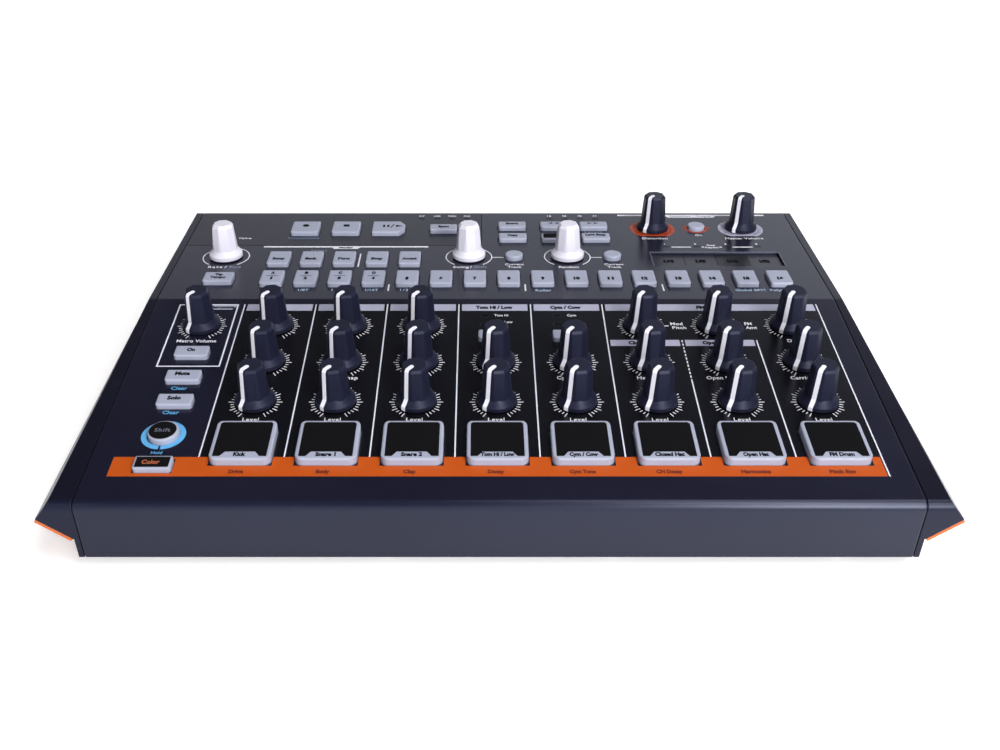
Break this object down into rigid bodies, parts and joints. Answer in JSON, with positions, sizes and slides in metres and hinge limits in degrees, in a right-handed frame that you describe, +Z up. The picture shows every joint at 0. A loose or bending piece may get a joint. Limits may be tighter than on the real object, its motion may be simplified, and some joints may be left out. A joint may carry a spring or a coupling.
{
  "type": "drum machine",
  "caption": "Desktop drum machine with a bent metal panel, faceted side cheeks, rows of knobs, step buttons, finger pads, a touch strip and rear sockets.",
  "frame": {"origin": "on the table, under the middle of the machine's box", "axes": "+X to the player's right, +Y from the player to the rear sockets, +Z up"},
  "size_m": [0.3162, 0.2268, 0.0605],
  "materials": {
    "top_cover": "satin",
    "bottom_cover": "satin",
    "left_cheek": "matt",
    "right_cheek": "matt",
    "wing_plates": "satin",
    "rubber_feet": "matt",
    "case_screws": "zinc plated",
    "front_board": "solder resist",
    "rear_board": "solder resist",
    "socket_board": "solder resist",
    "rotary_controls": "pressed",
    "key_switches": "matt",
    "pad_sensors": "matt",
    "touch_strip": "satin",
    "lamp_windows": "clear",
    "rear_sockets": "matt",
    "metronome_knob": "satin",
    "top_knob_1": "satin",
    "top_knob_2": "satin",
    "top_knob_3": "satin",
    "top_knob_6": "satin",
    "top_knob_7": "satin",
    "top_knob_8": "satin",
    "tone_knob_1": "satin",
    "tone_knob_2": "satin",
    "tone_knob_3": "satin",
    "tone_knob_4": "satin",
    "tone_knob_5": "satin",
    "tone_knob_6": "satin",
    "tone_knob_7": "satin",
    "tone_knob_8": "satin",
    "level_knob_1": "satin",
    "level_knob_2": "satin",
    "level_knob_3": "satin",
    "level_knob_4": "satin",
    "level_knob_5": "satin",
    "level_knob_6": "satin",
    "level_knob_7": "satin",
    "level_knob_8": "satin",
    "distortion_knob": "satin",
    "master_knob": "satin",
    "rate_encoder": "satin",
    "swing_encoder": "satin",
    "random_encoder": "satin",
    "pad_1": "matt",
    "pad_2": "matt",
    "pad_3": "matt",
    "pad_4": "matt",
    "pad_5": "matt",
    "pad_6": "matt",
    "pad_7": "matt",
    "pad_8": "matt",
    "step_buttons": "matt",
    "mode_buttons": "matt",
    "transport_buttons": "matt",
    "edit_buttons": "matt",
    "tap_button": "matt",
    "channel_buttons": "matt",
    "shift_button": "matt",
    "power_switch": "matt"
  },
  "bodies": {
    "case": {"top_cover": "top_cover", "bottom_cover": "bottom_cover", "left_cheek": "left_cheek", "right_cheek": "right_cheek", "wing_plates": "wing_plates", "rubber_feet": "rubber_feet", "case_screws": "case_screws", "front_board": "front_board", "rear_board": "rear_board", "socket_board": "socket_board", "rotary_controls": "rotary_controls", "key_switches": "key_switches", "pad_sensors": "pad_sensors", "touch_strip": "touch_strip", "lamp_windows": "lamp_windows", "rear_sockets": "rear_sockets"},
    "metronome_knob": {"metronome_knob": "metronome_knob"},
    "top_knob_1": {"top_knob_1": "top_knob_1"},
    "top_knob_2": {"top_knob_2": "top_knob_2"},
    "top_knob_3": {"top_knob_3": "top_knob_3"},
    "top_knob_6": {"top_knob_6": "top_knob_6"},
    "top_knob_7": {"top_knob_7": "top_knob_7"},
    "top_knob_8": {"top_knob_8": "top_knob_8"},
    "tone_knob_1": {"tone_knob_1": "tone_knob_1"},
    "tone_knob_2": {"tone_knob_2": "tone_knob_2"},
    "tone_knob_3": {"tone_knob_3": "tone_knob_3"},
    "tone_knob_4": {"tone_knob_4": "tone_knob_4"},
    "tone_knob_5": {"tone_knob_5": "tone_knob_5"},
    "tone_knob_6": {"tone_knob_6": "tone_knob_6"},
    "tone_knob_7": {"tone_knob_7": "tone_knob_7"},
    "tone_knob_8": {"tone_knob_8": "tone_knob_8"},
    "level_knob_1": {"level_knob_1": "level_knob_1"},
    "level_knob_2": {"level_knob_2": "level_knob_2"},
    "level_knob_3": {"level_knob_3": "level_knob_3"},
    "level_knob_4": {"level_knob_4": "level_knob_4"},
    "level_knob_5": {"level_knob_5": "level_knob_5"},
    "level_knob_6": {"level_knob_6": "level_knob_6"},
    "level_knob_7": {"level_knob_7": "level_knob_7"},
    "level_knob_8": {"level_knob_8": "level_knob_8"},
    "distortion_knob": {"distortion_knob": "distortion_knob"},
    "master_knob": {"master_knob": "master_knob"},
    "rate_encoder": {"rate_encoder": "rate_encoder"},
    "swing_encoder": {"swing_encoder": "swing_encoder"},
    "random_encoder": {"random_encoder": "random_encoder"},
    "pad_1": {"pad_1": "pad_1"},
    "pad_2": {"pad_2": "pad_2"},
    "pad_3": {"pad_3": "pad_3"},
    "pad_4": {"pad_4": "pad_4"},
    "pad_5": {"pad_5": "pad_5"},
    "pad_6": {"pad_6": "pad_6"},
    "pad_7": {"pad_7": "pad_7"},
    "pad_8": {"pad_8": "pad_8"},
    "step_buttons": {"step_buttons": "step_buttons"},
    "mode_buttons": {"mode_buttons": "mode_buttons"},
    "transport_buttons": {"transport_buttons": "transport_buttons"},
    "edit_buttons": {"edit_buttons": "edit_buttons"},
    "tap_button": {"tap_button": "tap_button"},
    "channel_buttons": {"channel_buttons": "channel_buttons"},
    "shift_button": {"shift_button": "shift_button"},
    "power_switch": {"power_switch": "power_switch"}
  },
  "joints": [
    {"name": "metronome_knob_turn", "type": "hinge", "parent": "case", "child": "metronome_knob", "pos_m": [-0.1207, -0.00691, 0.04075], "axis": [0, -0.108, 0.9942], "range_deg": [-287, 0]},
    {"name": "top_knob_1_turn", "type": "hinge", "parent": "case", "child": "top_knob_1", "pos_m": [-0.09075, -0.00691, 0.04075], "axis": [0, -0.108, 0.9942], "range_deg": [-287, 0]},
    {"name": "top_knob_2_turn", "type": "hinge", "parent": "case", "child": "top_knob_2", "pos_m": [-0.06065, -0.00691, 0.04075], "axis": [0, -0.108, 0.9942], "range_deg": [-287, 0]},
    {"name": "top_knob_3_turn", "type": "hinge", "parent": "case", "child": "top_knob_3", "pos_m": [-0.03055, -0.00691, 0.04075], "axis": [0, -0.108, 0.9942], "range_deg": [-287, 0]},
    {"name": "top_knob_6_turn", "type": "hinge", "parent": "case", "child": "top_knob_6", "pos_m": [0.05975, -0.00691, 0.04075], "axis": [0, -0.108, 0.9942], "range_deg": [-287, 0]},
    {"name": "top_knob_7_turn", "type": "hinge", "parent": "case", "child": "top_knob_7", "pos_m": [0.08985, -0.00691, 0.04075], "axis": [0, -0.108, 0.9942], "range_deg": [-287, 0]},
    {"name": "top_knob_8_turn", "type": "hinge", "parent": "case", "child": "top_knob_8", "pos_m": [0.11995, -0.00691, 0.04075], "axis": [0, -0.108, 0.9942], "range_deg": [-287, 0]},
    {"name": "tone_knob_1_turn", "type": "hinge", "parent": "case", "child": "tone_knob_1", "pos_m": [-0.09075, -0.03226, 0.038], "axis": [0, -0.108, 0.9942], "range_deg": [-287, 0]},
    {"name": "tone_knob_2_turn", "type": "hinge", "parent": "case", "child": "tone_knob_2", "pos_m": [-0.06065, -0.03226, 0.038], "axis": [0, -0.108, 0.9942], "range_deg": [-287, 0]},
    {"name": "tone_knob_3_turn", "type": "hinge", "parent": "case", "child": "tone_knob_3", "pos_m": [-0.03055, -0.03226, 0.038], "axis": [0, -0.108, 0.9942], "range_deg": [-287, 0]},
    {"name": "tone_knob_4_turn", "type": "hinge", "parent": "case", "child": "tone_knob_4", "pos_m": [-0.00045, -0.03226, 0.038], "axis": [0, -0.108, 0.9942], "range_deg": [-287, 0]},
    {"name": "tone_knob_5_turn", "type": "hinge", "parent": "case", "child": "tone_knob_5", "pos_m": [0.02965, -0.03226, 0.038], "axis": [0, -0.108, 0.9942], "range_deg": [-287, 0]},
    {"name": "tone_knob_6_turn", "type": "hinge", "parent": "case", "child": "tone_knob_6", "pos_m": [0.05975, -0.03226, 0.038], "axis": [0, -0.108, 0.9942], "range_deg": [-287, 0]},
    {"name": "tone_knob_7_turn", "type": "hinge", "parent": "case", "child": "tone_knob_7", "pos_m": [0.08985, -0.03226, 0.038], "axis": [0, -0.108, 0.9942], "range_deg": [-287, 0]},
    {"name": "tone_knob_8_turn", "type": "hinge", "parent": "case", "child": "tone_knob_8", "pos_m": [0.11995, -0.03226, 0.038], "axis": [0, -0.108, 0.9942], "range_deg": [-287, 0]},
    {"name": "level_knob_1_turn", "type": "hinge", "parent": "case", "child": "level_knob_1", "pos_m": [-0.09075, -0.05761, 0.03525], "axis": [0, -0.108, 0.9942], "range_deg": [-287, 0]},
    {"name": "level_knob_2_turn", "type": "hinge", "parent": "case", "child": "level_knob_2", "pos_m": [-0.06065, -0.05761, 0.03525], "axis": [0, -0.108, 0.9942], "range_deg": [-287, 0]},
    {"name": "level_knob_3_turn", "type": "hinge", "parent": "case", "child": "level_knob_3", "pos_m": [-0.03055, -0.05761, 0.03525], "axis": [0, -0.108, 0.9942], "range_deg": [-287, 0]},
    {"name": "level_knob_4_turn", "type": "hinge", "parent": "case", "child": "level_knob_4", "pos_m": [-0.00045, -0.05761, 0.03525], "axis": [0, -0.108, 0.9942], "range_deg": [-287, 0]},
    {"name": "level_knob_5_turn", "type": "hinge", "parent": "case", "child": "level_knob_5", "pos_m": [0.02965, -0.05761, 0.03525], "axis": [0, -0.108, 0.9942], "range_deg": [-287, 0]},
    {"name": "level_knob_6_turn", "type": "hinge", "parent": "case", "child": "level_knob_6", "pos_m": [0.05975, -0.05761, 0.03525], "axis": [0, -0.108, 0.9942], "range_deg": [-287, 0]},
    {"name": "level_knob_7_turn", "type": "hinge", "parent": "case", "child": "level_knob_7", "pos_m": [0.08985, -0.05761, 0.03525], "axis": [0, -0.108, 0.9942], "range_deg": [-287, 0]},
    {"name": "level_knob_8_turn", "type": "hinge", "parent": "case", "child": "level_knob_8", "pos_m": [0.11995, -0.05761, 0.03525], "axis": [0, -0.108, 0.9942], "range_deg": [-287, 0]},
    {"name": "distortion_knob_turn", "type": "hinge", "parent": "case", "child": "distortion_knob", "pos_m": [0.0764, 0.08957, 0.043], "axis": [0, 0, 1], "range_deg": [-287, 0]},
    {"name": "master_knob_turn", "type": "hinge", "parent": "case", "child": "master_knob", "pos_m": [0.1188, 0.08957, 0.043], "axis": [0, 0, 1], "range_deg": [-287, 0]},
    {"name": "rate_encoder_turn", "type": "hinge", "parent": "case", "child": "rate_encoder", "pos_m": [-0.1227, 0.05697, 0.043], "axis": [0, 0, 1], "continuous": true},
    {"name": "swing_encoder_turn", "type": "hinge", "parent": "case", "child": "swing_encoder", "pos_m": [-0.0117, 0.05697, 0.043], "axis": [0, 0, 1], "continuous": true},
    {"name": "random_encoder_turn", "type": "hinge", "parent": "case", "child": "random_encoder", "pos_m": [0.0333, 0.05697, 0.043], "axis": [0, 0, 1], "continuous": true},
    {"name": "pad_1_press", "type": "slide", "parent": "case", "child": "pad_1", "axis": [0, 0.108, -0.9942], "range_m": [0, 0.001], "stiffness_N_per_m": 1500, "springref_m": -0.0004},
    {"name": "pad_2_press", "type": "slide", "parent": "case", "child": "pad_2", "axis": [0, 0.108, -0.9942], "range_m": [0, 0.001], "stiffness_N_per_m": 1500, "springref_m": -0.0004},
    {"name": "pad_3_press", "type": "slide", "parent": "case", "child": "pad_3", "axis": [0, 0.108, -0.9942], "range_m": [0, 0.001], "stiffness_N_per_m": 1500, "springref_m": -0.0004},
    {"name": "pad_4_press", "type": "slide", "parent": "case", "child": "pad_4", "axis": [0, 0.108, -0.9942], "range_m": [0, 0.001], "stiffness_N_per_m": 1500, "springref_m": -0.0004},
    {"name": "pad_5_press", "type": "slide", "parent": "case", "child": "pad_5", "axis": [0, 0.108, -0.9942], "range_m": [0, 0.001], "stiffness_N_per_m": 1500, "springref_m": -0.0004},
    {"name": "pad_6_press", "type": "slide", "parent": "case", "child": "pad_6", "axis": [0, 0.108, -0.9942], "range_m": [0, 0.001], "stiffness_N_per_m": 1500, "springref_m": -0.0004},
    {"name": "pad_7_press", "type": "slide", "parent": "case", "child": "pad_7", "axis": [0, 0.108, -0.9942], "range_m": [0, 0.001], "stiffness_N_per_m": 1500, "springref_m": -0.0004},
    {"name": "pad_8_press", "type": "slide", "parent": "case", "child": "pad_8", "axis": [0, 0.108, -0.9942], "range_m": [0, 0.001], "stiffness_N_per_m": 1500, "springref_m": -0.0004},
    {"name": "step_buttons_press", "type": "slide", "parent": "case", "child": "step_buttons", "axis": [0, 0, -1], "range_m": [0, 0.001], "stiffness_N_per_m": 1200, "springref_m": -0.0004},
    {"name": "mode_buttons_press", "type": "slide", "parent": "case", "child": "mode_buttons", "axis": [0, 0, -1], "range_m": [0, 0.001], "stiffness_N_per_m": 1200, "springref_m": -0.0004},
    {"name": "transport_buttons_press", "type": "slide", "parent": "case", "child": "transport_buttons", "axis": [0, 0, -1], "range_m": [0, 0.001], "stiffness_N_per_m": 1200, "springref_m": -0.0004},
    {"name": "edit_buttons_press", "type": "slide", "parent": "case", "child": "edit_buttons", "axis": [0, 0, -1], "range_m": [0, 0.001], "stiffness_N_per_m": 1200, "springref_m": -0.0004},
    {"name": "tap_button_press", "type": "slide", "parent": "case", "child": "tap_button", "axis": [0, 0, -1], "range_m": [0, 0.001], "stiffness_N_per_m": 1200, "springref_m": -0.0004},
    {"name": "channel_buttons_press", "type": "slide", "parent": "case", "child": "channel_buttons", "axis": [0, 0.108, -0.9942], "range_m": [0, 0.001], "stiffness_N_per_m": 1200, "springref_m": -0.0004},
    {"name": "shift_button_press", "type": "slide", "parent": "case", "child": "shift_button", "axis": [0, 0.108, -0.9942], "range_m": [0, 0.001], "stiffness_N_per_m": 1200, "springref_m": -0.0004},
    {"name": "power_switch_rock", "type": "hinge", "parent": "case", "child": "power_switch", "pos_m": [0.118, 0.10837, 0.023], "axis": [0, 0, 1], "range_deg": [0, 16]}
  ]
}
